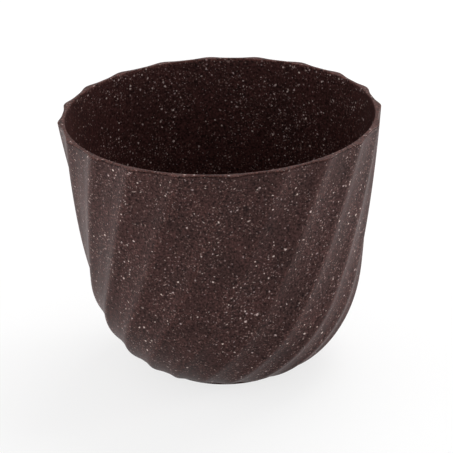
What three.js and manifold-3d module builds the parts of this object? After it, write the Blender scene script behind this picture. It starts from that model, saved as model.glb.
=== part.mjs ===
// Round plant pot moulded in one piece, with a swirl of flutes outside and a smooth inside,
// and the soft plugs that close the drain holes in its floor.
// Millimetres, +Z up. The pot's axis is Z, it stands on the plane Z = 0, and -Y is its front.

import * as THREE from 'three';
import { mergeVertices } from 'three/addons/utils/BufferGeometryUtils.js';
import Module from 'manifold-3d';

const { degToRad, mapLinear } = THREE.MathUtils;

// Outside of the pot, over the crests between the flutes
const POT_HEIGHT = 132;
const RIM_RADIUS = 80;
const WALL_TAPER = degToRad(7.75);
const BOWL_HEIGHT = 50.5;
const BOWL_ROUNDNESS = 2.2;

// Foot: a plain ring, set back under the fluted bowl, with notches that let drained water out
const FOOT_RADIUS = 35;
const FOOT_HEIGHT = 2;
const FOOT_SETBACK = 2.4;
const FOOT_RING_WIDTH = 4;
const RECESS_DEPTH = 2;
const NOTCH_WIDTH = 6;
const NOTCH_HEIGHT = 1;

// Flutes: shallow hollows between narrow crests, turning as they run down the wall.
// The turn is a steady lean from the rim to the foot and a further sweep gathered near the foot.
const FLUTE_COUNT = 20;
const FLUTE_DEPTH_AT_RIM = 1.8;
const FLUTE_DEPTH_AT_FOOT = 1.3;
const CREST_NARROWNESS = 2.5;
const CREST_LAND_AT_RIM = 1.6;
const FIRST_CREST = degToRad(3.6);
const SWIRL_LEAN = degToRad(35);
const SWIRL_SWEEP = degToRad(27.5);
const SWEEP_POWER = 4;

// Wall under the flutes, and floor
const WALL_THICKNESS = 1.7;
const FLOOR_THICKNESS = 2.2;

// Drain holes, on a circle midway between the pot's axis and the inside of the foot ring
const DRAIN_COUNT = 3;
const DRAIN_HOLE_RADIUS = 5;
const FIRST_DRAIN = degToRad(90);

// Drain plugs: a tapered stem, a flange that rests on the floor and a post with a bead to pull
const STEM_CLEARANCE = 0.3;
const SEAT_GAP = 0.3;
const STEM_TAPER = 0.5;
const STEM_GROUND_CLEARANCE = 1.2;
const FLANGE_OVERLAP = 3;
const FLANGE_THICKNESS = 1.6;
const FLANGE_EDGE_RADIUS = 0.6;
const POST_RADIUS = 2.2;
const POST_HEIGHT = 3.4;
const BEAD_OVERHANG = 0.9;

// Facets
const WALL_RINGS = 6;
const BOWL_RINGS = 11;
const FLUTE_STEPS = 6;
const POT_SEGMENTS = 60;
const DRAIN_SEGMENTS = 24;
const ARC_STEPS = 2;

// How far a cutting body runs past the faces that it cuts
const OVERCUT = 1;

// Height over which the slope of the wall is taken
const SLOPE_STEP = 0.2;

// Places that follow from the sizes above
const FLUTE_PITCH = (2 * Math.PI) / FLUTE_COUNT;
const LAND_ANGLE = CREST_LAND_AT_RIM / RIM_RADIUS;
const FLOOR_TOP = RECESS_DEPTH + FLOOR_THICKNESS;
const RECESS_RADIUS = FOOT_RADIUS - FOOT_RING_WIDTH;
const DRAIN_CIRCLE_RADIUS = RECESS_RADIUS / 2;
const BOWL_EDGE_RADIUS = FOOT_RADIUS + FOOT_SETBACK;
const BOWL_INSET = (taperedRadius(FOOT_HEIGHT) - BOWL_EDGE_RADIUS) / bowlShare(FOOT_HEIGHT);

const SHELL_FINISH = new THREE.MeshStandardMaterial({ color: 0x4c3c3a, roughness: 0.62, metalness: 0 });
const PLUG_FINISH = new THREE.MeshStandardMaterial({ color: 0x2b2423, roughness: 0.8, metalness: 0 });

const wasm = await Module();
wasm.setup();

/** Radius of the straight tapered wall at a height, carried on down past the bowl. */
function taperedRadius(height) {
  return RIM_RADIUS - (POT_HEIGHT - height) * Math.tan(WALL_TAPER);
}

/** How much of the bowl's full inset is reached at a height: a quarter of a squarish ellipse. */
function bowlShare(height) {
  const below = Math.max(0, (BOWL_HEIGHT - height) / BOWL_HEIGHT);
  return 1 - (1 - below ** BOWL_ROUNDNESS) ** (1 / BOWL_ROUNDNESS);
}

/** Outside radius over the crests at a height. */
function crestRadius(height) {
  return taperedRadius(height) - BOWL_INSET * bowlShare(height);
}

/** Depth of the flutes at a height: they grow shallower towards the foot. */
function fluteDepth(height) {
  return mapLinear(height, FOOT_HEIGHT, POT_HEIGHT, FLUTE_DEPTH_AT_FOOT, FLUTE_DEPTH_AT_RIM);
}

/** Outside radius along the bottoms of the flutes at a height. */
function hollowRadius(height) {
  return crestRadius(height) - fluteDepth(height);
}

/** Angle that the flutes have turned between the rim and a height. */
function swirl(height) {
  const down = (POT_HEIGHT - height) / POT_HEIGHT;
  return SWIRL_LEAN * down + SWIRL_SWEEP * down ** SWEEP_POWER;
}

/** Heights of the outline from the foot to the rim, closer together where the bowl curves more. */
function outlineHeights() {
  const footAngle = Math.asin((BOWL_HEIGHT - FOOT_HEIGHT) / BOWL_HEIGHT);
  const heights = [];
  for (let ring = 0; ring < BOWL_RINGS; ring += 1) {
    heights.push(BOWL_HEIGHT * (1 - Math.sin(footAngle * (1 - ring / BOWL_RINGS))));
  }
  for (let ring = 0; ring <= WALL_RINGS; ring += 1) {
    heights.push(BOWL_HEIGHT + (POT_HEIGHT - BOWL_HEIGHT) * (ring / WALL_RINGS));
  }
  return heights;
}

/** One level section of the fluted outside: a land on each crest and a hollow between lands. */
function flutedRing(height) {
  const crest = crestRadius(height);
  const depth = fluteDepth(height);
  const turn = FIRST_CREST - Math.PI / 2 - swirl(height);
  const ring = [];
  for (let flute = 0; flute < FLUTE_COUNT; flute += 1) {
    const start = turn + flute * FLUTE_PITCH + LAND_ANGLE / 2;
    for (let step = 0; step <= FLUTE_STEPS; step += 1) {
      const across = step / FLUTE_STEPS;
      const angle = start + across * (FLUTE_PITCH - LAND_ANGLE);
      const radius = crest - depth * (1 - Math.abs(2 * across - 1) ** CREST_NARROWNESS);
      ring.push([radius * Math.cos(angle), radius * Math.sin(angle), height]);
    }
  }
  return ring;
}

/** Closed geometry through level rings of equal count, with a fan over each end. */
function loft(rings) {
  const count = rings[0].length;
  const top = (rings.length - 1) * count;
  const lowCentre = rings.length * count;
  const highCentre = lowCentre + 1;
  const centres = [rings[0], rings[rings.length - 1]].map((ring) => [0, 0, ring[0][2]]);
  const indices = [];
  for (let point = 0; point < count; point += 1) {
    const next = (point + 1) % count;
    for (let base = 0; base < top; base += count) {
      indices.push(base + point, base + next, base + count + next);
      indices.push(base + point, base + count + next, base + count + point);
    }
    indices.push(lowCentre, next, point);
    indices.push(highCentre, top + point, top + next);
  }
  const geometry = new THREE.BufferGeometry();
  const positions = [...rings.flat(), ...centres].flat();
  geometry.setAttribute('position', new THREE.Float32BufferAttribute(positions, 3));
  geometry.setIndex(indices);
  return geometry;
}

/** Round geometry about Z from a profile of [radius, height] points that runs up from the axis. */
function revolve(profile, segments) {
  const points = profile.map(([radius, height]) => new THREE.Vector2(radius, height));
  return new THREE.LatheGeometry(points, segments).rotateX(Math.PI / 2);
}

/** Solid cylinder about Z between two heights. */
function cylinder(radius, low, high, segments) {
  return revolve([[0, low], [radius, low], [radius, high], [0, high]], segments);
}

/** Body ready to be joined and cut, from a closed geometry. */
function toSolid(geometry) {
  geometry.deleteAttribute('normal');
  geometry.deleteAttribute('uv');
  const merged = mergeVertices(geometry);
  const corners = merged.index.array;
  const triangles = [];
  for (let corner = 0; corner < corners.length; corner += 3) {
    const [a, b, c] = corners.slice(corner, corner + 3);
    if (a !== b && b !== c && c !== a) {
      triangles.push(a, b, c);
    }
  }
  const vertProperties = new Float32Array(merged.attributes.position.array);
  const triVerts = new Uint32Array(triangles);
  return new wasm.Manifold(new wasm.Mesh({ numProp: 3, vertProperties, triVerts }));
}

/** Geometry of a finished body. */
function toGeometry(solid) {
  const { vertProperties, triVerts } = solid.getMesh();
  const geometry = new THREE.BufferGeometry();
  geometry.setAttribute('position', new THREE.BufferAttribute(vertProperties, 3));
  geometry.setIndex(new THREE.BufferAttribute(triVerts, 1));
  geometry.computeVertexNormals();
  return geometry;
}

/** Profile of the smooth inside: the bottoms of the flutes moved in by the wall, above the floor. */
function cavityProfile() {
  const profile = outlineHeights().map((height) => {
    const slope = (hollowRadius(height + SLOPE_STEP) - hollowRadius(height)) / SLOPE_STEP;
    const square = WALL_THICKNESS / Math.hypot(1, slope);
    const raised = height + square * slope;
    return [hollowRadius(height) - square, Math.max(raised, FLOOR_TOP)];
  });
  const mouth = profile[profile.length - 1][0];
  const above = POT_HEIGHT + OVERCUT;
  return [[0, FLOOR_TOP], ...profile, [mouth, above], [0, above]];
}

/** Angles of the drain holes around the pot's axis. */
function drainAngles() {
  return Array.from({ length: DRAIN_COUNT }, (_, drain) => FIRST_DRAIN + (drain * 2 * Math.PI) / DRAIN_COUNT);
}

/** Cut for one drain hole and for the notch of the foot ring in line with it. */
function drainCut(angle) {
  const hole = cylinder(DRAIN_HOLE_RADIUS, RECESS_DEPTH - OVERCUT, FLOOR_TOP + OVERCUT, DRAIN_SEGMENTS);
  hole.translate(DRAIN_CIRCLE_RADIUS, 0, 0).rotateZ(angle);
  const length = FOOT_RING_WIDTH + 2 * OVERCUT;
  const notch = new THREE.BoxGeometry(length, NOTCH_WIDTH, 2 * NOTCH_HEIGHT);
  notch.translate(FOOT_RADIUS - FOOT_RING_WIDTH / 2, 0, 0).rotateZ(angle);
  return toSolid(hole).add(toSolid(notch));
}

/** Pot shell: fluted outside and foot, less the inside, the recess under the floor and the drains. */
function potShell() {
  const outside = toSolid(loft(outlineHeights().map(flutedRing)));
  const foot = toSolid(cylinder(FOOT_RADIUS, 0, FOOT_HEIGHT + OVERCUT, POT_SEGMENTS));
  const inside = toSolid(revolve(cavityProfile(), POT_SEGMENTS));
  const recess = toSolid(cylinder(RECESS_RADIUS, -OVERCUT, RECESS_DEPTH, POT_SEGMENTS));
  const body = outside.add(foot).subtract(inside).subtract(recess);
  return drainAngles().reduce((shell, angle) => shell.subtract(drainCut(angle)), body);
}

/** Profile of a plug, with the underside of its flange at height 0. */
function plugProfile() {
  const stemRadius = DRAIN_HOLE_RADIUS - STEM_CLEARANCE;
  const stemLength = FLOOR_TOP + SEAT_GAP - STEM_GROUND_CLEARANCE;
  const flangeRadius = DRAIN_HOLE_RADIUS + FLANGE_OVERLAP;
  const edgeCentre = flangeRadius - FLANGE_EDGE_RADIUS;
  const neckTop = FLANGE_THICKNESS + POST_HEIGHT;
  const beadRadius = POST_RADIUS + BEAD_OVERHANG;
  const neckAngle = Math.acos(POST_RADIUS / beadRadius);
  const beadCentre = neckTop + beadRadius * Math.sin(neckAngle);
  const path = new THREE.Path();
  path.moveTo(0, -stemLength);
  path.lineTo(stemRadius - STEM_TAPER, -stemLength);
  path.lineTo(stemRadius, 0);
  path.lineTo(flangeRadius, 0);
  path.lineTo(flangeRadius, FLANGE_THICKNESS - FLANGE_EDGE_RADIUS);
  path.absarc(edgeCentre, FLANGE_THICKNESS - FLANGE_EDGE_RADIUS, FLANGE_EDGE_RADIUS, 0, Math.PI / 2);
  path.lineTo(POST_RADIUS, FLANGE_THICKNESS);
  path.lineTo(POST_RADIUS, neckTop);
  path.absarc(0, beadCentre, beadRadius, -neckAngle, Math.PI / 2);
  return path.getPoints(ARC_STEPS).map((point) => [Math.max(point.x, 0), point.y]);
}

/** Mesh of one named piece. */
function piece(name, solid, finish) {
  const mesh = new THREE.Mesh(toGeometry(solid), finish);
  mesh.name = name;
  return mesh;
}

const pot = new THREE.Group();
pot.add(piece('pot_shell', potShell(), SHELL_FINISH));

const plugSolid = toSolid(revolve(plugProfile(), DRAIN_SEGMENTS));
drainAngles().forEach((angle, drain) => {
  const plug = piece(`drain_plug_${drain + 1}`, plugSolid, PLUG_FINISH);
  plug.position.set(DRAIN_CIRCLE_RADIUS, 0, FLOOR_TOP + SEAT_GAP);
  const place = new THREE.Group();
  place.rotation.z = angle;
  place.add(plug);
  pot.add(place);
});

export default pot;
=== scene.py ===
"""Plant pot with a swirl of flutes: the dressed model, its floor, its light and its camera.

Lengths are metres in the frame of the solids: +Z up, the pot's axis on Z, its front towards -Y.
"""

import logging
import math
from dataclasses import dataclass, field
from enum import Enum
from typing import Mapping, Sequence, Union

import bpy
from mathutils import Color, Euler, Matrix, Vector

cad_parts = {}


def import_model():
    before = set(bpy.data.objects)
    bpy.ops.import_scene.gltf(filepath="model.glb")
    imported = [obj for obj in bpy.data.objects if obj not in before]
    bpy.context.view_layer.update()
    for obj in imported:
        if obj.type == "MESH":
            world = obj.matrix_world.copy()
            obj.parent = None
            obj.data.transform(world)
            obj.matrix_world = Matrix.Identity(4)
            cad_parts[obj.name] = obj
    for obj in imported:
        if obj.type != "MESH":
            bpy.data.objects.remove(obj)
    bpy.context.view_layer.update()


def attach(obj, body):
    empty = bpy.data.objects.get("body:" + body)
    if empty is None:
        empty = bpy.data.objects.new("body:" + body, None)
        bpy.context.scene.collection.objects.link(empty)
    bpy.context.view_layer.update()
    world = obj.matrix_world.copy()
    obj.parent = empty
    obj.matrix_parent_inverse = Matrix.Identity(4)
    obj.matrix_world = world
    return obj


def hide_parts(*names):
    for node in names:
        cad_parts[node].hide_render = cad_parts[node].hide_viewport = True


log = logging.getLogger("plant_pot")

# A millimetre in metres, and a whole turn
MM = 0.001
TURN = 2.0 * math.pi

# Range that most values of a noise lie in, and the middle of its colours
NOISE_SPAN = (0.3, 0.7)
NOISE_MIDDLE = (0.5, 0.5, 0.5)

# Greatest level of a screen colour
SCREEN_TOP = 255.0

Colour = tuple[float, float, float, float]
Feed = Union["Wire", float, int, bool, str, Sequence[float], bpy.types.Material]


class Socket(Enum):
    """Kinds of named input and output that a node group can have."""

    GEOMETRY = "NodeSocketGeometry"
    MATERIAL = "NodeSocketMaterial"
    NUMBER = "NodeSocketFloat"
    COUNT = "NodeSocketInt"
    VECTOR = "NodeSocketVector"


class Side(Enum):
    """Sides of the pot that a lamp can stand on, as directions from the pot."""

    LEFT = (-1.0, 0.0, 0.0)
    RIGHT = (1.0, 0.0, 0.0)
    BEHIND_RIGHT = (0.6, 0.8, 0.0)


@dataclass(frozen=True)
class Wire:
    """An output socket in a graph, with arithmetic that adds math nodes to it."""

    graph: "Graph"
    socket: bpy.types.NodeSocket

    def __add__(self, other: Feed) -> "Wire":
        """Sum of two numbers."""
        return self.graph.math("ADD", self, other)

    def __sub__(self, other: Feed) -> "Wire":
        """Difference of two numbers."""
        return self.graph.math("SUBTRACT", self, other)

    def __rsub__(self, other: Feed) -> "Wire":
        """Difference of a plain number and this one."""
        return self.graph.math("SUBTRACT", other, self)

    def __mul__(self, other: Feed) -> "Wire":
        """Product of two numbers."""
        return self.graph.math("MULTIPLY", self, other)

    def __truediv__(self, other: Feed) -> "Wire":
        """Quotient of two numbers."""
        return self.graph.math("DIVIDE", self, other)

    def __pow__(self, other: Feed) -> "Wire":
        """This number raised to a power."""
        return self.graph.math("POWER", self, other)


@dataclass
class Graph:
    """A node tree being laid out, with short ways to add nodes and join them."""

    tree: bpy.types.NodeTree

    def feed(self, socket: bpy.types.NodeSocket, value: Feed) -> None:
        """Join a wire to an input, or set the input's own value.

        Args:
            socket: The input.
            value: A wire, or a plain value of the input's kind.
        """
        if isinstance(value, Wire):
            self.tree.links.new(value.socket, socket)
        else:
            socket.default_value = value

    def node(self, kind: str, feeds: Mapping[Union[str, int], Feed], **settings: object) -> bpy.types.Node:
        """Add one node.

        Args:
            kind: The node's type.
            feeds: What goes into its inputs, by name or place.
            **settings: The node's own options, which are set first.

        Returns:
            The new node.
        """
        node = self.tree.nodes.new(kind)
        for name, option in settings.items():
            setattr(node, name, option)
        for key, value in feeds.items():
            self.feed(node.inputs[key], value)
        return node

    def wire(self, node: bpy.types.Node, output: Union[str, int] = 0) -> Wire:
        """Wire from one output of a node, by the output's name or place."""
        return Wire(self, node.outputs[output])

    def add(self, kind: str, feeds: Mapping[Union[str, int], Feed], **settings: object) -> Wire:
        """Add one node, as node() does, and take the wire from its first output."""
        return self.wire(self.node(kind, feeds, **settings))

    def math(self, operation: str, *values: Feed) -> Wire:
        """Add one math node and take the wire of its result."""
        return self.add("ShaderNodeMath", dict(enumerate(values)), operation=operation)

    def ramp(self, value: Feed, start: Feed, end: Feed, low: Feed = 0.0, high: Feed = 1.0) -> Wire:
        """Map a number so that start becomes low and end becomes high, held between the two."""
        feeds = {"Value": value, "From Min": start, "From Max": end, "To Min": low, "To Max": high}
        return self.add("ShaderNodeMapRange", feeds)

    def blend(self, share: Feed, first: Feed, second: Feed) -> Wire:
        """Mix two colours.

        Args:
            share: How much of the second colour shows.
            first: The colour at a share of 0.
            second: The colour at a share of 1.

        Returns:
            The mixed colour.
        """
        factor_in, first_in, second_in, colour_out = 0, 6, 7, 2
        feeds = {factor_in: share, first_in: first, second_in: second}
        return self.wire(self.node("ShaderNodeMix", feeds, data_type="RGBA"), colour_out)

    def scaled(self, colour: Feed, amount: Feed) -> Wire:
        """Lighten or darken a colour, by multiplying each of its parts by an amount."""
        return self.add("ShaderNodeVectorMath", {"Vector": colour, "Scale": amount}, operation="SCALE")

    def mark(self, name: str) -> Wire:
        """Read a number that the surface carries, in a material's tree."""
        return self.wire(self.node("ShaderNodeAttribute", {}, attribute_name=name), "Fac")

    def surface(self, colour: Wire, dull: Wire, relief: Wire, gloss: float) -> None:
        """End a material's tree in its shader."""
        feeds = {"Base Color": colour, "Roughness": dull, "Normal": relief, "Specular IOR Level": gloss}
        self.node("ShaderNodeOutputMaterial", {"Surface": self.add("ShaderNodeBsdfPrincipled", feeds)})

    def inputs(self, sockets: Mapping[str, Socket]) -> dict[str, Wire]:
        """Give the tree named inputs.

        Args:
            sockets: The kind of each input, by name.

        Returns:
            The wire of each input, by name.
        """
        for name, kind in sockets.items():
            self.tree.interface.new_socket(name, in_out="INPUT", socket_type=kind.value)
        entry = self.node("NodeGroupInput", {})
        return {name: self.wire(entry, name) for name in sockets}

    def outputs(self, sockets: Mapping[str, tuple[Socket, Wire]]) -> None:
        """Give the tree named outputs.

        Args:
            sockets: The kind of each output and the wire that it takes, by name.
        """
        for name, (kind, _) in sockets.items():
            self.tree.interface.new_socket(name, in_out="OUTPUT", socket_type=kind.value)
        self.node("NodeGroupOutput", {name: wire for name, (_, wire) in sockets.items()})


def new_material(name: str) -> tuple[bpy.types.Material, Graph]:
    """Make an empty material.

    Args:
        name: The material's name.

    Returns:
        The material, and a graph of its tree.
    """
    material = bpy.data.materials.new(name)
    material.use_nodes = True
    material.node_tree.nodes.clear()
    return material, Graph(material.node_tree)


def screen_colour(red: int, green: int, blue: int) -> Colour:
    """Opaque colour, as light from 0 to 1, of a screen colour from 0 to 255."""
    screen = Color([level / SCREEN_TOP for level in (red, green, blue)])
    return (*screen.from_srgb_to_scene_linear(), 1.0)


@dataclass(frozen=True)
class ProfilePoint:
    """A corner of a turned section.

    Attributes:
        radius: Distance from the axis.
        height: Height along the axis.
        flute: How much of the flutes' depth reaches this point, from 0 to 1.
        fillet: Radius that rounds the corner.
    """

    radius: float
    height: float
    flute: float = 0.0
    fillet: float = 0.0


def rounded(corners: Sequence[ProfilePoint], steps: int = 5) -> list[ProfilePoint]:
    """Round each corner of a section that has a fillet.

    Args:
        corners: The section, from end to end.
        steps: Steps along each rounded corner.

    Returns:
        The section with arcs in place of its rounded corners.
    """
    section: list[ProfilePoint] = []
    for place, corner in enumerate(corners):
        if corner.fillet == 0.0:
            section.append(corner)
            continue
        here = Vector((corner.radius, corner.height))
        before, after = corners[place - 1], corners[place + 1]
        to_before = (Vector((before.radius, before.height)) - here).normalized()
        to_after = (Vector((after.radius, after.height)) - here).normalized()
        half = to_before.angle(to_after) / 2.0
        reach = corner.fillet / math.tan(half)
        centre = here + (to_before + to_after).normalized() * (corner.fillet / math.sin(half))
        start = here + to_before * reach - centre
        end = here + to_after * reach - centre
        sweep = start.angle_signed(end)
        for step in range(steps + 1):
            spoke = start.copy()
            spoke.rotate(Matrix.Rotation(-sweep * step / steps, 2))
            section.append(ProfilePoint(centre.x + spoke.x, centre.y + spoke.y, corner.flute))
    return section


class SwirlLathe:
    """Geometry nodes that turn a section about Z, press flutes into it and cut its drains."""

    # Inputs of the tree for any piece, and further ones for a piece with drains
    SIZES = {
        "Section": Socket.GEOMETRY,
        "Finish": Socket.MATERIAL,
        "Place": Socket.VECTOR,
        **dict.fromkeys(("Points around", "Flutes"), Socket.COUNT),
        **dict.fromkeys(("Height", "Foot height", "Lip height", "Depth at rim", "Depth at foot",
                         "Crest narrowness", "Crest rounding", "Crest gather", "First crest",
                         "Lean", "Sweep", "Sweep power"), Socket.NUMBER),
    }
    DRAIN_SIZES = {
        "Drains": Socket.COUNT,
        **dict.fromkeys(("First drain", "Drain circle", "Drain radius", "Notch circle", "Notch length",
                         "Notch width", "Notch height"), Socket.NUMBER),
    }

    # Mark on a section's points: the share of the flutes' depth that reaches them
    FLUTE_MARK = "flute"

    # Marks on a piece: how much wear and painted highlight its crests and rim carry, and 0 on the fluted
    # outside and 1 elsewhere
    WEAR_AND_HIGHLIGHT_MARK = "wear_and_highlight_share"
    INSIDE_MARK = "inside"

    # How much wear and painted highlight a crest carries, where the rim carries 1
    CREST_WEAR_AND_HIGHLIGHT = 0.8

    # Distance within which points become one, and bend past which an edge is sharp
    WELD = 0.01 * MM
    SHARP = math.radians(38.0)

    # Sides of a drain hole, and length of the body that cuts it
    DRAIN_SIDES = 48
    DRAIN_LENGTH = 20.0 * MM

    def __init__(self, name: str, drains: bool) -> None:
        """Lay out the tree.

        Args:
            name: The tree's name.
            drains: Whether the turned piece has drain holes and foot notches.
        """
        self.tree = bpy.data.node_groups.new(name, "GeometryNodeTree")
        self.graph = Graph(self.tree)
        self.sizes = self.graph.inputs(self.SIZES | self.DRAIN_SIZES if drains else self.SIZES)
        turned = self._turned()
        if drains:
            turned = self._drained(turned)
        self._finished(turned)

    def _turned(self) -> Wire:
        """Turn the section into a closed skin with its flutes.

        Returns:
            The skin.
        """
        graph, sizes = self.graph, self.sizes
        section = sizes["Section"]
        rows = graph.add("GeometryNodeAttributeDomainSize", {"Geometry": section}, component="MESH")
        columns = sizes["Points around"] + 1.0
        span = rows - 1.0
        feeds = {"Size X": span, "Size Y": 1.0, "Vertices X": rows, "Vertices Y": columns}
        grid = graph.add("GeometryNodeMeshGrid", feeds)

        # On the flat grid X counts the section's points and Y goes once round the piece
        position = graph.add("GeometryNodeInputPosition", {})
        spot = graph.node("ShaderNodeSeparateXYZ", {0: position})
        row = graph.math("ROUND", graph.wire(spot, "X") + span / 2.0)
        around = (graph.wire(spot, "Y") + 0.5) * sizes["Flutes"]

        share = graph.add("GeometryNodeInputNamedAttribute", {"Name": self.FLUTE_MARK}, data_type="FLOAT")
        feeds = {"Geometry": section, "Value": share, "Index": row}
        fluted = graph.add("GeometryNodeSampleIndex", feeds, data_type="FLOAT", domain="POINT")
        feeds = {"Geometry": section, "Value": position, "Index": row}
        point = graph.add("GeometryNodeSampleIndex", feeds, data_type="FLOAT_VECTOR", domain="POINT")
        corner = graph.node("ShaderNodeSeparateXYZ", {0: point})
        radius, height = graph.wire(corner, "X"), graph.wire(corner, "Z")

        hollow, across = self._hollow(around)
        depth = graph.ramp(height, sizes["Foot height"], sizes["Height"],
                           sizes["Depth at foot"], sizes["Depth at rim"])
        out = radius - depth * hollow * fluted
        down = (sizes["Height"] - height) / sizes["Height"]
        swirl = sizes["Lean"] * down + sizes["Sweep"] * down ** sizes["Sweep power"]
        # The first crest's angle is counted from the front, a quarter turn back from +X
        angle = across * TURN / sizes["Flutes"] + sizes["First crest"] - TURN / 4.0 - swirl
        # The rim's lip and the crests carry wear and a painted highlight, which lightens them under any
        # lamp
        lip = graph.math("GREATER_THAN", height, sizes["Height"] - sizes["Lip height"])
        wear_and_highlight_share = graph.math("MAXIMUM", (1.0 - hollow) * fluted * self.CREST_WEAR_AND_HIGHLIGHT, lip)

        # The marks follow places on the flat grid, so they are stored before it is bent
        marked = grid
        for mark, value in ((self.WEAR_AND_HIGHLIGHT_MARK, wear_and_highlight_share), (self.INSIDE_MARK, 1.0 - fluted)):
            feeds = {"Geometry": marked, "Name": mark, "Value": value}
            marked = graph.add("GeometryNodeStoreNamedAttribute", feeds, data_type="FLOAT", domain="POINT")
        feeds = {"X": out * graph.math("COSINE", angle), "Y": out * graph.math("SINE", angle), "Z": height}
        feeds = {"Geometry": marked, "Position": graph.add("ShaderNodeCombineXYZ", feeds)}
        skin = graph.add("GeometryNodeSetPosition", feeds)
        return graph.add("GeometryNodeMergeByDistance", {"Geometry": skin, "Distance": self.WELD})

    def _hollow(self, around: Wire) -> tuple[Wire, Wire]:
        """Work out the flutes' section, with points gathered at the crests.

        Args:
            around: Place around the piece, counted in flutes.

        Returns:
            How deep a point lies, from 0 on a crest to 1, and its place around after gathering.
        """
        graph, sizes = self.graph, self.sizes
        first = graph.math("FLOOR", around)
        even = around - first
        pull = graph.math("SINE", even * TURN) * sizes["Crest gather"] / TURN
        share = even - pull
        away = 1.0 - graph.math("ABSOLUTE", share * 2.0 - 1.0)
        soft = sizes["Crest rounding"]
        eased = graph.math("SQRT", away * away + soft * soft)
        rest = graph.math("MAXIMUM", 1.0 - eased, 0.0) ** sizes["Crest narrowness"]
        crest_rest = (1.0 - soft) ** sizes["Crest narrowness"]
        return 1.0 - rest / crest_rest, first + share

    def _around_axis(self, cutter: Wire, circle: Wire) -> Wire:
        """Set copies of a cutter on a circle, each turned to face out.

        Args:
            cutter: The cutter, about the origin.
            circle: The circle's radius.

        Returns:
            The copies, as plain mesh.
        """
        graph, sizes = self.graph, self.sizes
        ring = graph.add("GeometryNodeMeshCircle", {"Vertices": sizes["Drains"], "Radius": circle})
        step = graph.add("GeometryNodeInputIndex", {}) * TURN / sizes["Drains"]
        facing = graph.add("ShaderNodeCombineXYZ", {"Z": step})
        feeds = {"Points": ring, "Instance": cutter, "Rotation": facing}
        copies = graph.add("GeometryNodeInstanceOnPoints", feeds)
        turn = graph.add("ShaderNodeCombineXYZ", {"Z": sizes["First drain"]})
        turned = graph.add("GeometryNodeTransform", {"Geometry": copies, "Rotation": turn})
        return graph.add("GeometryNodeRealizeInstances", {"Geometry": turned})

    def _drained(self, skin: Wire) -> Wire:
        """Cut the drain holes through the floor and the notches through the foot ring.

        A notch's cutter is centred on the ground, so it is twice the notch's height.

        Args:
            skin: The turned piece.

        Returns:
            The cut piece.
        """
        graph, sizes = self.graph, self.sizes
        feeds = {"Vertices": self.DRAIN_SIDES, "Radius": sizes["Drain radius"], "Depth": self.DRAIN_LENGTH}
        hole = graph.add("GeometryNodeMeshCylinder", feeds)
        feeds = {"X": sizes["Notch length"], "Y": sizes["Notch width"], "Z": sizes["Notch height"] * 2.0}
        notch = graph.add("GeometryNodeMeshCube", {"Size": graph.add("ShaderNodeCombineXYZ", feeds)})
        cut = skin
        for cutter, circle in ((hole, sizes["Drain circle"]), (notch, sizes["Notch circle"])):
            feeds = {"Mesh 1": cut, "Mesh 2": self._around_axis(cutter, circle)}
            cut = graph.add("GeometryNodeMeshBoolean", feeds, operation="DIFFERENCE", solver="EXACT")
        return cut

    def _finished(self, skin: Wire) -> None:
        """Shade the piece, put it in its place and give it its finish.

        Args:
            skin: The piece.
        """
        graph, sizes = self.graph, self.sizes
        smooth = graph.add("GeometryNodeSetShadeSmooth", {"Geometry": skin, "Shade Smooth": True})
        bend = graph.add("GeometryNodeInputMeshEdgeAngle", {})
        sharp = graph.math("GREATER_THAN", bend, self.SHARP)
        feeds = {"Geometry": smooth, "Selection": sharp, "Shade Smooth": False}
        shaded = graph.add("GeometryNodeSetShadeSmooth", feeds, domain="EDGE")
        placed = graph.add("GeometryNodeTransform", {"Geometry": shaded, "Translation": sizes["Place"]})
        real = graph.add("GeometryNodeRealizeInstances", {"Geometry": placed})
        dressed = graph.add("GeometryNodeSetMaterial", {"Geometry": real, "Material": sizes["Finish"]})
        graph.outputs({"Piece": (Socket.GEOMETRY, dressed)})

    def turn(self, name: str, section: Sequence[ProfilePoint],
             sizes: Mapping[str, Feed]) -> bpy.types.Object:
        """Turn one section into a finished piece.

        Args:
            name: The piece's name.
            section: Its section, from the axis back to the axis, with the material on its left.
            sizes: The values of the tree's inputs, by name. An input that is left out stays at 0.

        Returns:
            The piece, as a plain mesh object at the origin.
        """
        mesh = bpy.data.meshes.new(f"{name}_section")
        points = [(point.radius, 0.0, point.height) for point in section]
        mesh.from_pydata(points, [(place, place + 1) for place in range(len(points) - 1)], [])
        marks = mesh.attributes.new(self.FLUTE_MARK, "FLOAT", "POINT")
        marks.data.foreach_set("value", [point.flute for point in section])
        piece = bpy.data.objects.new(name, mesh)
        bpy.context.scene.collection.objects.link(piece)
        modifier = piece.modifiers.new("turned", "NODES")
        modifier.node_group = self.tree
        for item in self.tree.interface.items_tree:
            if item.in_out == "INPUT" and item.name in sizes:
                modifier[item.identifier] = sizes[item.name]
        piece.update_tag()
        graph = bpy.context.evaluated_depsgraph_get()
        graph.update()
        turned = bpy.data.meshes.new_from_object(piece.evaluated_get(graph))
        turned.name = name
        piece.modifiers.remove(modifier)
        piece.data = turned
        bpy.data.meshes.remove(mesh)
        return piece


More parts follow.
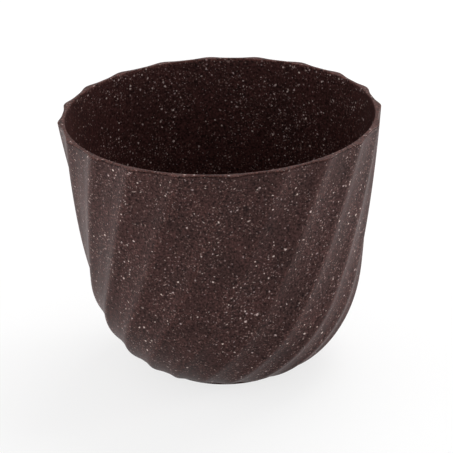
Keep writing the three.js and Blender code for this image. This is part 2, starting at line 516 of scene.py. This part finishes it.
class SurfaceKit:
    """Shader node groups that the finishes place."""

    # Wobbles of a fleck's edge over the distance between flecks, and their octaves
    FLECK_WOBBLES = 2.5
    WOBBLE_DETAIL = 1.0

    # Radius of the smallest fleck over that of the largest, and share of a radius that is fully covered
    SMALLEST_FLECK = 0.4
    FLECK_CORE = 0.45

    # Range of the noise that thins and crowds the flecks, and what multiplies their share at its ends
    CROWD_NOISE = (0.35, 0.65)
    CROWD_SHARES = (0.35, 1.65)

    # Octaves of the mottle, and how strong the finer ones are
    MOTTLE_DETAIL = 3.0
    MOTTLE_ROUGHNESS = 0.6

    def __init__(self) -> None:
        """Build the groups."""
        self.flecks = self._fleck_group()
        self.grain = self._grain_group()

    def _fleck_group(self) -> bpy.types.NodeTree:
        """Build scattered flecks of one size.

        Returns:
            A group that gives a mask of the flecks and a tint that differs from fleck to fleck.
        """
        tree = bpy.data.node_groups.new("scattered_flecks", "ShaderNodeTree")
        graph = Graph(tree)
        names = ("Scale", "Radius", "Share", "Crowd scale", "Ragged")
        sizes = graph.inputs({"Vector": Socket.VECTOR, **dict.fromkeys(names, Socket.NUMBER)})
        feeds = {"Vector": sizes["Vector"], "Scale": sizes["Scale"] * self.FLECK_WOBBLES,
                 "Detail": self.WOBBLE_DETAIL}
        wobble = graph.wire(graph.node("ShaderNodeTexNoise", feeds), "Color")
        shift = graph.add("ShaderNodeVectorMath", {0: wobble, 1: NOISE_MIDDLE}, operation="SUBTRACT")
        feeds = {0: shift, 1: sizes["Ragged"] / sizes["Scale"], 2: sizes["Vector"]}
        ragged = graph.add("ShaderNodeVectorMath", feeds, operation="MULTIPLY_ADD")
        cells = graph.node("ShaderNodeTexVoronoi", {"Vector": ragged, "Scale": sizes["Scale"]})
        chance = graph.node("ShaderNodeSeparateColor", {"Color": graph.wire(cells, "Color")})
        growth = graph.wire(chance, "Green") * (1.0 - self.SMALLEST_FLECK) + self.SMALLEST_FLECK
        edge = sizes["Radius"] * growth
        spot = graph.ramp(graph.wire(cells, "Distance"), edge, edge * self.FLECK_CORE)
        feeds = {"Vector": graph.wire(cells, "Position"), "Scale": sizes["Crowd scale"]}
        crowd = graph.ramp(graph.add("ShaderNodeTexNoise", feeds), *self.CROWD_NOISE, *self.CROWD_SHARES)
        held = graph.math("LESS_THAN", graph.wire(chance, "Red"), sizes["Share"] * crowd)
        graph.outputs({"Mask": (Socket.NUMBER, spot * held),
                       "Tint": (Socket.NUMBER, graph.wire(chance, "Blue"))})
        return tree

    def _grain_group(self) -> bpy.types.NodeTree:
        """Build the fine grain of a moulded surface.

        Returns:
            A group that gives a broad mottle and a fine grain, each around 0.5.
        """
        tree = bpy.data.node_groups.new("moulded_grain", "ShaderNodeTree")
        graph = Graph(tree)
        names = ("Mottle scale", "Grain scale")
        sizes = graph.inputs({"Vector": Socket.VECTOR, **dict.fromkeys(names, Socket.NUMBER)})
        feeds = {"Vector": sizes["Vector"], "Scale": sizes["Mottle scale"],
                 "Detail": self.MOTTLE_DETAIL, "Roughness": self.MOTTLE_ROUGHNESS}
        broad = graph.add("ShaderNodeTexNoise", feeds)
        fine = graph.add("ShaderNodeTexNoise", {"Vector": sizes["Vector"], "Scale": sizes["Grain scale"]})
        graph.outputs({"Mottle": (Socket.NUMBER, broad), "Grain": (Socket.NUMBER, fine)})
        return tree

    def grained(self, graph: Graph, mottle_scale: float, grain_scale: float) -> tuple[Wire, Wire, Wire]:
        """Place the moulded grain in a material.

        Args:
            graph: The material's graph.
            mottle_scale: Patches to a metre.
            grain_scale: Grains to a metre.

        Returns:
            The surface's own coordinates, the mottle and the grain.
        """
        spot = graph.wire(graph.node("ShaderNodeTexCoord", {}), "Object")
        feeds = {"Vector": spot, "Mottle scale": mottle_scale, "Grain scale": grain_scale}
        grain = graph.node("ShaderNodeGroup", feeds, node_tree=self.grain)
        return spot, graph.wire(grain, "Mottle"), graph.wire(grain, "Grain")


@dataclass(frozen=True)
class FleckLayer:
    """Plant fibres of one size in the moulding compound.

    Attributes:
        pitch: Distance between the places that can hold a fibre.
        radius: Radius of the largest fibre.
        share: Share of the places that hold one on the outside.
        inside_share: Share of the places that hold one on the inside.
        strength: How strongly the fibres cover the compound.
        colour: Colour of the palest fibres.
        other: Colour of the deepest fibres.
        stretch: Length of a fibre over its width.
        turn: Turn of the fibres, in degrees about X, Y and Z.
    """

    pitch: float
    radius: float
    share: float
    inside_share: float
    strength: float
    colour: Colour
    other: Colour
    stretch: float = 1.0
    turn: tuple[float, float, float] = (0.0, 0.0, 0.0)


# Colours of the fibres
CREAM = screen_colour(216, 196, 187)
TAN = screen_colour(156, 131, 125)
PINK = screen_colour(170, 148, 148)
RUST = screen_colour(118, 86, 78)


@dataclass(frozen=True)
class HuskCompound:
    """Matte brown moulding compound filled with pale plant fibre."""

    # Darker and lighter patches; the inside copies are darker and redder, painted shade for the pot's dim
    # inside
    deep: Colour = screen_colour(52, 35, 33)
    light: Colour = screen_colour(61, 40, 38)
    inside_painted_shade_deep: Colour = screen_colour(50, 29, 27)
    inside_painted_shade_light: Colour = screen_colour(58, 33, 31)

    # Patches and grains to a metre, and how far the grain lightens and darkens the compound
    mottle_scale: float = 55.0
    grain_scale: float = 900.0
    grain_contrast: float = 0.72

    # Relief: the grain's height, how far a fibre stands out over that height, and the strength of both
    grain_height: float = 0.05 * MM
    fibre_relief: float = 0.5
    relief: float = 0.6

    # Least and greatest roughness, and gloss
    roughness: tuple[float, float] = (0.40, 0.52)
    specular: float = 0.07

    # Rubbed crests and rim, lightened partly by wear and partly as a painted highlight: their colour, how
    # strongly it shows, the mark's value from which it shows, and the range of the grain over which it
    # takes hold
    wear_and_highlight_colour: Colour = screen_colour(110, 70, 63)
    wear_and_highlight_strength: float = 0.5
    wear_and_highlight_start: float = 0.75
    wear_and_highlight_grain: tuple[float, float] = (0.35, 0.65)

    # Fibres: their crowded and sparse patches to a metre, how far an edge strays over the distance
    # between fibres, and each size, from the faintest to the palest
    crowd_scale: float = 45.0
    ragged: float = 0.5
    layers: tuple[FleckLayer, ...] = (
        FleckLayer(pitch=1.25 * MM, radius=0.55 * MM, share=0.85, inside_share=0.70, strength=0.45,
                   colour=TAN, other=RUST),
        FleckLayer(pitch=1.7 * MM, radius=0.58 * MM, share=0.55, inside_share=0.50, strength=0.55,
                   colour=PINK, other=TAN),
        FleckLayer(pitch=2.4 * MM, radius=0.42 * MM, share=0.48, inside_share=0.60, strength=0.70,
                   colour=CREAM, other=TAN, stretch=2.6, turn=(25.0, 70.0, 10.0)),
        FleckLayer(pitch=2.5 * MM, radius=0.42 * MM, share=0.48, inside_share=0.60, strength=0.70,
                   colour=CREAM, other=PINK, stretch=2.6, turn=(-60.0, 15.0, 50.0)),
        FleckLayer(pitch=2.9 * MM, radius=0.74 * MM, share=0.34, inside_share=0.70, strength=0.95,
                   colour=CREAM, other=PINK),
    )

    def build(self, kit: SurfaceKit) -> bpy.types.Material:
        """Make the material.

        Args:
            kit: The shared groups.

        Returns:
            The material.
        """
        material, graph = new_material("husk_compound")
        spot, mottle, grain = kit.grained(graph, self.mottle_scale, self.grain_scale)
        patch = graph.ramp(mottle, *NOISE_SPAN)
        outside_colour = graph.blend(patch, self.deep, self.light)
        # The inside takes darker, redder colours: painted shade for its dim hollow
        inside_painted_shade = graph.blend(patch, self.inside_painted_shade_deep, self.inside_painted_shade_light)
        inside = graph.mark(SwirlLathe.INSIDE_MARK)
        shade = graph.ramp(grain, *NOISE_SPAN, 1.0 - self.grain_contrast, 1.0 + self.grain_contrast)
        colour = graph.scaled(graph.blend(inside, outside_colour, inside_painted_shade), shade)
        # Wear and painted highlight on the crests and rim
        wear_and_highlight_share = graph.ramp(graph.mark(SwirlLathe.WEAR_AND_HIGHLIGHT_MARK), self.wear_and_highlight_start, 1.0)
        wear_and_highlight_amount = wear_and_highlight_share * graph.ramp(grain, *self.wear_and_highlight_grain) * self.wear_and_highlight_strength
        colour = graph.blend(wear_and_highlight_amount, colour, self.wear_and_highlight_colour)
        raised = grain
        for layer in self.layers:
            share = graph.ramp(inside, 0.0, 1.0, layer.share, layer.inside_share)
            mask, tint = self._flecks(graph, kit, spot, layer, share)
            fibre = graph.blend(tint, layer.colour, layer.other)
            colour = graph.blend(mask * layer.strength, colour, fibre)
            raised = raised + mask * self.fibre_relief
        dull = graph.ramp(grain, *NOISE_SPAN, *self.roughness)
        feeds = {"Height": raised, "Distance": self.grain_height, "Strength": self.relief}
        graph.surface(colour, dull, graph.add("ShaderNodeBump", feeds), self.specular)
        return material

    def _flecks(self, graph: Graph, kit: SurfaceKit, spot: Wire, layer: FleckLayer,
                share: Wire) -> tuple[Wire, Wire]:
        """Lay one size of fibre over the surface.

        Args:
            graph: The material's graph.
            kit: The shared groups.
            spot: The surface's own coordinates.
            layer: The fibres.
            share: Share of the places that hold a fibre.

        Returns:
            The fibres' mask and the tint of each.
        """
        turn = Euler([math.radians(angle) for angle in layer.turn])
        feeds = {"Vector": spot, "Rotation": turn, "Scale": (1.0, 1.0, layer.stretch)}
        laid = graph.add("ShaderNodeMapping", feeds, vector_type="TEXTURE")
        feeds = {"Vector": laid, "Scale": 1.0 / layer.pitch, "Radius": layer.radius / layer.pitch,
                 "Share": share, "Crowd scale": self.crowd_scale, "Ragged": self.ragged}
        flecks = graph.node("ShaderNodeGroup", feeds, node_tree=kit.flecks)
        return graph.wire(flecks, "Mask"), graph.wire(flecks, "Tint")


@dataclass(frozen=True)
class PlugRubber:
    """Soft dark rubber with a dusty bloom."""

    # Bare rubber, bloom, and the range of the mottle over which the bloom comes in
    dark: Colour = screen_colour(40, 30, 28)
    bloom: Colour = screen_colour(86, 70, 64)
    bloom_mottle: tuple[float, float] = (0.4, 0.65)

    # Patches of bloom and grains to a metre, and how far the grain lightens and darkens the rubber
    mottle_scale: float = 320.0
    grain_scale: float = 1600.0
    grain_contrast: float = 0.4

    # Height of the grain, and strength of its relief
    grain_height: float = 0.06 * MM
    relief: float = 0.5

    # Least and greatest roughness, and gloss
    roughness: tuple[float, float] = (0.5, 0.85)
    specular: float = 0.25

    def build(self, kit: SurfaceKit) -> bpy.types.Material:
        """Make the material.

        Args:
            kit: The shared groups.

        Returns:
            The material.
        """
        material, graph = new_material("plug_rubber")
        _, mottle, grain = kit.grained(graph, self.mottle_scale, self.grain_scale)
        dusty = graph.ramp(mottle, *self.bloom_mottle)
        shade = graph.ramp(grain, *NOISE_SPAN, 1.0 - self.grain_contrast, 1.0 + self.grain_contrast)
        colour = graph.scaled(graph.blend(dusty, self.dark, self.bloom), shade)
        dull = graph.ramp(dusty, 0.0, 1.0, *self.roughness)
        feeds = {"Height": grain, "Distance": self.grain_height, "Strength": self.relief}
        graph.surface(colour, dull, graph.add("ShaderNodeBump", feeds), self.specular)
        return material


@dataclass
class Drains:
    """The drain holes in the pot's floor, and the notches of its foot ring in line with them."""

    count: int = 3
    hole_radius: float = 5.0 * MM
    first: float = math.radians(90.0)
    notch_width: float = 6.0 * MM
    notch_height: float = 1.0 * MM

    # How far a notch's cutter runs past the foot ring on each side
    overcut: float = 1.0 * MM


@dataclass
class PotShell:
    """The moulded pot: fluted wall, rim, smooth inside, floor and foot ring."""

    body: str = "pot"
    node: str = "pot_shell"
    slot: str = "husk_compound"

    # Outside over the crests: a straight tapered wall on a bowl whose section is a squarish ellipse
    height: float = 132.0 * MM
    rim_radius: float = 80.0 * MM
    wall_taper: float = math.radians(7.75)
    bowl_height: float = 50.5 * MM
    bowl_roundness: float = 2.2

    # Foot ring, set back under the bowl, with a recess inside it
    foot_radius: float = 35.0 * MM
    foot_height: float = 2.0 * MM
    foot_setback: float = 2.4 * MM
    foot_ring_width: float = 4.0 * MM
    foot_rounding: float = 0.5 * MM
    recess_depth: float = 2.0 * MM

    # Wall under the flutes, and floor
    wall: float = 1.7 * MM
    floor: float = 2.2 * MM

    # Flutes: they lean steadily from the rim to the foot and sweep further round near the foot
    flutes: int = 20
    flute_depth_at_rim: float = 1.8 * MM
    flute_depth_at_foot: float = 1.3 * MM
    crest_narrowness: float = 2.5
    crest_rounding: float = 0.4
    first_crest: float = math.radians(3.6)
    lean: float = math.radians(35.0)
    sweep: float = math.radians(27.5)
    sweep_power: float = 4.0

    # Rim: a thin lip over a fine groove
    rim_rounding: float = 0.4 * MM
    lip_height: float = 0.5 * MM
    groove_width: float = 0.5 * MM
    groove_depth: float = 0.35 * MM
    groove_rounding: float = 0.08 * MM

    # Facets, with each flute's points gathered towards its crests, and the step that slopes are taken over
    points_per_flute: int = 24
    crest_gather: float = 0.6
    bowl_rows: int = 40
    wall_rows: int = 40
    inside_rows: int = 16
    slope_step: float = 0.2 * MM

    drains: Drains = field(default_factory=Drains)

    @property
    def floor_top(self) -> float:
        """Height of the floor's upper face."""
        return self.recess_depth + self.floor

    @property
    def recess_radius(self) -> float:
        """Inside radius of the foot ring."""
        return self.foot_radius - self.foot_ring_width

    @property
    def drain_circle(self) -> float:
        """Radius of the circle that the drain holes lie on."""
        return self.recess_radius / 2.0

    @property
    def bowl_edge(self) -> float:
        """Outside radius where the flutes end over the foot."""
        return self.foot_radius + self.foot_setback

    def tapered(self, height: float) -> float:
        """Radius of the straight wall at a height, carried on down past the bowl."""
        return self.rim_radius - (self.height - height) * math.tan(self.wall_taper)

    def bowl_share(self, height: float) -> float:
        """Share of the bowl's inset that is reached at a height: a quarter of a squarish ellipse."""
        below = max(0.0, (self.bowl_height - height) / self.bowl_height)
        return 1.0 - (1.0 - below ** self.bowl_roundness) ** (1.0 / self.bowl_roundness)

    def crest(self, height: float) -> float:
        """Outside radius over the crests at a height."""
        inset = (self.tapered(self.foot_height) - self.bowl_edge) / self.bowl_share(self.foot_height)
        return self.tapered(height) - inset * self.bowl_share(height)

    def hollow(self, height: float) -> float:
        """Outside radius along the bottoms of the flutes at a height."""
        share = (height - self.foot_height) / (self.height - self.foot_height)
        growth = self.flute_depth_at_rim - self.flute_depth_at_foot
        return self.crest(height) - self.flute_depth_at_foot - share * growth

    def heights(self, bowl_rows: int, wall_rows: int) -> list[float]:
        """Heights from the foot to the rim, closer together where the bowl curves more.

        Args:
            bowl_rows: Steps over the bowl.
            wall_rows: Steps over the straight wall.

        Returns:
            The heights.
        """
        foot_angle = math.asin((self.bowl_height - self.foot_height) / self.bowl_height)
        angles = [foot_angle * (1.0 - row / bowl_rows) for row in range(bowl_rows)]
        bowl = [self.bowl_height * (1.0 - math.sin(angle)) for angle in angles]
        rise = self.height - self.bowl_height
        return bowl + [self.bowl_height + rise * row / wall_rows for row in range(wall_rows + 1)]

    def inside(self, height: float) -> tuple[float, float]:
        """Point of the inside wall across from a height on the outside.

        Args:
            height: The height on the outside.

        Returns:
            The radius and height of the point, a wall's thickness in from the flutes' bottoms.
        """
        slope = (self.hollow(height + self.slope_step) - self.hollow(height)) / self.slope_step
        square = self.wall / math.hypot(1.0, slope)
        return self.hollow(height) - square, height + square * slope

    def section(self) -> list[ProfilePoint]:
        """Section of the shell, from the middle of its underside round to the middle of its floor.

        Returns:
            The section's points.
        """
        soft, edge, fine = self.foot_rounding, self.rim_rounding, self.groove_rounding
        underside = [
            ProfilePoint(0.0, self.recess_depth),
            ProfilePoint(self.recess_radius, self.recess_depth, fillet=soft),
            ProfilePoint(self.recess_radius, 0.0, fillet=soft),
            ProfilePoint(self.foot_radius, 0.0, fillet=soft),
            ProfilePoint(self.foot_radius, self.foot_height, fillet=soft),
        ]
        heights = self.heights(self.bowl_rows, self.wall_rows)
        outside = [ProfilePoint(self.bowl_edge, self.foot_height, 1.0, soft)]
        outside += [ProfilePoint(self.crest(height), height, 1.0) for height in heights[1:-1]]
        lip = self.height - self.lip_height
        under = lip - self.groove_width
        mouth, _ = self.inside(self.height)
        rim = [
            ProfilePoint(self.crest(under), under, 1.0, fine),
            ProfilePoint(self.crest(under) - self.groove_depth, under + fine, 1.0, fine),
            ProfilePoint(self.crest(lip) - self.groove_depth, lip - fine, 1.0, fine),
            ProfilePoint(self.crest(lip), lip, 1.0, fine),
            ProfilePoint(self.rim_radius, self.height, 1.0, edge),
            ProfilePoint(mouth, self.height, fillet=edge),
        ]
        inner = []
        for height in reversed(self.heights(self.inside_rows, self.inside_rows)[:-1]):
            radius, raised = self.inside(height)
            inner.append(ProfilePoint(radius, max(raised, self.floor_top)))
        floor = [ProfilePoint(0.0, self.floor_top)]
        return rounded(underside + outside + rim + inner + floor)

    def build(self, finish: bpy.types.Material) -> bpy.types.Object:
        """Turn the shell and set it in place of its solid.

        Args:
            finish: The shell's material.

        Returns:
            The shell.
        """
        drains = self.drains
        lathe = SwirlLathe("fluted_shell", drains=True)
        piece = lathe.turn("pot_shell_moulded", self.section(), {
            "Points around": self.flutes * self.points_per_flute,
            "Flutes": self.flutes,
            "Depth at rim": self.flute_depth_at_rim,
            "Depth at foot": self.flute_depth_at_foot,
            "Foot height": self.foot_height,
            "Height": self.height,
            "Crest narrowness": self.crest_narrowness,
            "Crest rounding": self.crest_rounding,
            "Crest gather": self.crest_gather,
            "First crest": self.first_crest,
            "Lean": self.lean,
            "Sweep": self.sweep,
            "Sweep power": self.sweep_power,
            "Lip height": self.lip_height,
            "Finish": finish,
            "Drains": drains.count,
            "Drain circle": self.drain_circle,
            "Drain radius": drains.hole_radius,
            "Notch circle": self.foot_radius - self.foot_ring_width / 2.0,
            "Notch length": self.foot_ring_width + 2.0 * drains.overcut,
            "Notch width": drains.notch_width,
            "Notch height": drains.notch_height,
            "First drain": drains.first,
        })
        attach(piece, self.body)
        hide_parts(self.node)
        return piece


@dataclass
class DrainPlugs:
    """The soft plugs that close the drain holes."""

    shell: PotShell
    slot: str = "plug_rubber"

    # Stem, which tapers towards the ground under the floor
    stem_clearance: float = 0.3 * MM
    stem_taper: float = 0.5 * MM
    ground_clearance: float = 1.2 * MM

    # Flange, which rests on the floor round the hole
    seat_gap: float = 0.3 * MM
    flange_overlap: float = 3.0 * MM
    flange_thickness: float = 1.6 * MM
    edge_rounding: float = 0.6 * MM

    # Post with a round bead to pull
    post_radius: float = 2.2 * MM
    post_height: float = 3.4 * MM
    bead_overhang: float = 0.9 * MM
    corner_rounding: float = 0.25 * MM

    # Facets
    points_around: int = 64
    bead_steps: int = 18

    def section(self) -> list[ProfilePoint]:
        """Section of a plug, with the underside of its flange at height 0.

        Returns:
            The section's points.
        """
        hole = self.shell.drains.hole_radius
        stem = hole - self.stem_clearance
        tip = self.ground_clearance - self.shell.floor_top - self.seat_gap
        flange = hole + self.flange_overlap
        neck_top = self.flange_thickness + self.post_height
        bead = self.post_radius + self.bead_overhang
        neck_angle = math.acos(self.post_radius / bead)
        centre = neck_top + bead * math.sin(neck_angle)
        soft = self.corner_rounding
        corners = [
            ProfilePoint(0.0, tip),
            ProfilePoint(stem - self.stem_taper, tip, fillet=soft),
            ProfilePoint(stem, 0.0, fillet=soft),
            ProfilePoint(flange, 0.0, fillet=soft),
            ProfilePoint(flange, self.flange_thickness, fillet=self.edge_rounding),
            ProfilePoint(self.post_radius, self.flange_thickness, fillet=self.edge_rounding),
            ProfilePoint(self.post_radius, neck_top - soft),
        ]
        for step in range(self.bead_steps + 1):
            angle = -neck_angle + (math.pi / 2.0 + neck_angle) * step / self.bead_steps
            corners.append(ProfilePoint(bead * max(0.0, math.cos(angle)), centre + bead * math.sin(angle)))
        return rounded(corners)

    def build(self, finish: bpy.types.Material) -> list[bpy.types.Object]:
        """Turn the plugs and set each in place of its solid.

        Args:
            finish: The plugs' material.

        Returns:
            The plugs.
        """
        lathe = SwirlLathe("turned_plug", drains=False)
        drains, circle = self.shell.drains, self.shell.drain_circle
        seat_height = self.shell.floor_top + self.seat_gap
        plugs = []
        for place in range(drains.count):
            angle = drains.first + TURN * place / drains.count
            # One flute of no depth leaves the plug round
            plug = lathe.turn(f"drain_plug_{place + 1}_moulded", self.section(), {
                "Points around": self.points_around,
                "Flutes": 1,
                "Height": self.shell.height,
                "Crest narrowness": 1.0,
                "Sweep power": 1.0,
                "Place": (circle * math.cos(angle), circle * math.sin(angle), seat_height),
                "Finish": finish,
            })
            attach(plug, f"plug_{place + 1}")
            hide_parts(f"drain_plug_{place + 1}")
            plugs.append(plug)
        return plugs


@dataclass(frozen=True)
class Softbox:
    """A large soft lamp.

    Attributes:
        side: Where it stands.
        distance: How far from the pot.
        width: Its width.
        height: Its height.
        power: Its power in watts.
        lift: How far it stands above the middle of the pot.
        back: How far it stands back, past the middle of the pot.
    """

    side: Side
    distance: float
    width: float
    height: float
    power: float
    lift: float = 0.0
    back: float = 0.0


@dataclass
class Studio:
    """Plain pale floor, soft light and the camera."""

    # Strength at which a background shows as white
    WHITE = 1.0

    # Camera, its lens and sensor in millimetres, and the point that it and the lamps face
    aim: tuple[float, float, float] = (1.5 * MM, 0.0, 71.0 * MM)
    camera_distance: float = 1.4
    camera_elevation: float = math.radians(24.05)
    camera_roll: float = math.radians(1.86)
    lens: float = 222.0
    sensor: float = 36.0

    # Floor, a little under the foot ring, and the share of plain white in it as it is seen
    floor_size: float = 8.0
    floor_drop: float = 0.2 * MM
    floor_colour: Colour = (0.95, 0.95, 0.95, 1.0)
    floor_glow: float = 0.75

    # Strength of the world's light from the sides and from straight above, and the lamps
    fill_level: float = 1.5
    fill_above: float = 0.45
    softboxes: tuple[Softbox, ...] = (
        Softbox(Side.LEFT, distance=0.9, width=1.2, height=0.14, power=8.5, back=0.26),
        Softbox(Side.RIGHT, distance=0.9, width=0.2, height=0.14, power=7.2, back=0.26),
        Softbox(Side.BEHIND_RIGHT, distance=0.6, width=0.8, height=0.8, power=8.0, lift=1.0),
    )

    def build(self) -> None:
        """Set up the floor, the world, the lamps and the camera."""
        self._floor()
        self._world()
        for softbox in self.softboxes:
            self._lamp(softbox)
        self._camera()
        bpy.context.scene.view_settings.view_transform = "Standard"

    @staticmethod
    def _shown(graph: Graph) -> Wire:
        """Tell rays that show the background from rays that light the pot.

        Args:
            graph: The graph of a material or a world.

        Returns:
            A wire that is 1 for rays from the camera, from a gloss or through glass, and else 0.
        """
        path = graph.node("ShaderNodeLightPath", {})
        shown = graph.math("MAXIMUM", graph.wire(path, "Is Camera Ray"), graph.wire(path, "Is Glossy Ray"))
        return graph.math("MAXIMUM", shown, graph.wire(path, "Is Transmission Ray"))

    def _floor(self) -> None:
        """Lay a pale floor that shows as white and keeps the pot's shadow."""
        half = self.floor_size / 2.0
        corners = [(-half, -half), (half, -half), (half, half), (-half, half)]
        mesh = bpy.data.meshes.new("studio_floor")
        mesh.from_pydata([(x, y, -self.floor_drop) for x, y in corners], [], [(0, 1, 2, 3)])
        floor = bpy.data.objects.new("studio_floor", mesh)
        bpy.context.scene.collection.objects.link(floor)
        material, graph = new_material("studio_floor")
        glow = self._shown(graph) * self.floor_glow
        matte = graph.add("ShaderNodeBsdfDiffuse", {"Color": self.floor_colour})
        white = graph.add("ShaderNodeEmission", {"Strength": self.WHITE})
        mixed = graph.add("ShaderNodeMixShader", {0: glow, 1: matte, 2: white})
        graph.node("ShaderNodeOutputMaterial", {"Surface": mixed})
        mesh.materials.append(material)

    def _world(self) -> None:
        """Make a world that shows as white and gives a soft fill, dimmer from overhead."""
        world = bpy.data.worlds.new("studio_world")
        world.use_nodes = True
        world.node_tree.nodes.clear()
        graph = Graph(world.node_tree)
        heading = graph.wire(graph.node("ShaderNodeTexCoord", {}), "Generated")
        rise = graph.wire(graph.node("ShaderNodeSeparateXYZ", {0: heading}), "Z")
        soft = graph.ramp(rise, 0.0, 1.0, self.fill_level, self.fill_above)
        strength = graph.ramp(self._shown(graph), 0.0, 1.0, soft, self.WHITE)
        backdrop = graph.add("ShaderNodeBackground", {"Strength": strength})
        graph.node("ShaderNodeOutputWorld", {"Surface": backdrop})
        bpy.context.scene.world = world

    def _lamp(self, softbox: Softbox) -> None:
        """Stand one soft lamp beside the pot, facing it.

        Args:
            softbox: The lamp.
        """
        data = bpy.data.lights.new(f"softbox_{softbox.side.name.lower()}", "AREA")
        data.shape = "RECTANGLE"
        data.size = softbox.width
        data.size_y = softbox.height
        data.energy = softbox.power
        lamp = bpy.data.objects.new(data.name, data)
        aim = Vector(self.aim)
        lamp.location = aim + Vector(softbox.side.value) * softbox.distance
        lamp.location.z += softbox.lift
        lamp.location.y += softbox.back
        lamp.rotation_euler = (aim - lamp.location).to_track_quat("-Z", "Y").to_euler()
        bpy.context.scene.collection.objects.link(lamp)

    def _camera(self) -> None:
        """Set the camera where the photograph was taken from."""
        data = bpy.data.cameras.new("photo_camera")
        data.lens = self.lens
        data.sensor_width = self.sensor
        camera = bpy.data.objects.new("photo_camera", data)
        level, rise = math.cos(self.camera_elevation), math.sin(self.camera_elevation)
        camera.location = Vector(self.aim) + Vector((0.0, -level, rise)) * self.camera_distance
        facing = Matrix.Rotation(math.pi / 2.0 - self.camera_elevation, 4, "X")
        camera.rotation_euler = (facing @ Matrix.Rotation(-self.camera_roll, 4, "Z")).to_euler()
        bpy.context.scene.collection.objects.link(camera)
        bpy.context.scene.camera = camera


def main() -> None:
    """Build the pot round its frame, light it and set the camera."""
    logging.basicConfig(level=logging.INFO, format="%(name)s: %(message)s")
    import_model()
    Studio().build()
    kit = SurfaceKit()
    shell = PotShell()
    pieces = [shell.build(HuskCompound().build(kit))]
    pieces += DrainPlugs(shell).build(PlugRubber().build(kit))
    for piece in pieces:
        log.info("%s has %d faces", piece.name, len(piece.data.polygons))


if __name__ == "__main__":
    main()
